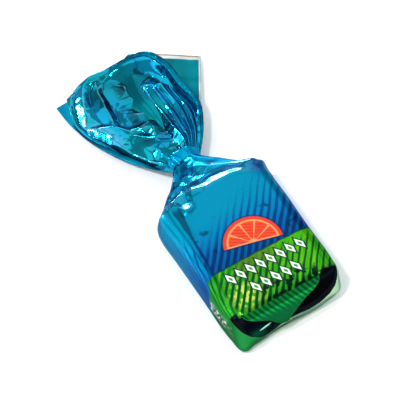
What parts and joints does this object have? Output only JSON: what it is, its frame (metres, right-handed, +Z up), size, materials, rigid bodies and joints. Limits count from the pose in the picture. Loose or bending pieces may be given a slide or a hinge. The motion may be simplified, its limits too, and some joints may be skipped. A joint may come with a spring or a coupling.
{
  "type": "wrapped jelly candy",
  "caption": "Soft block of jelly candy closed in shiny blue-green metallised film, folded flat at one end and twisted at the other into a narrow neck that opens into a crumpled fan.",
  "frame": {"origin": "middle of the flat underside of the wrapped block, where the candy rests", "axes": "+X across the label to its right, +Y along the candy towards the twisted neck and the fan, +Z up out of the label"},
  "size_m": [0.0352, 0.0831, 0.0125],
  "materials": {
    "printed_film": "metallised film, glossy, blue-green with darker blue and green printing"
  },
  "bodies": {
    "root": {"wrapped_candy": "printed_film"}
  },
  "joints": []
}
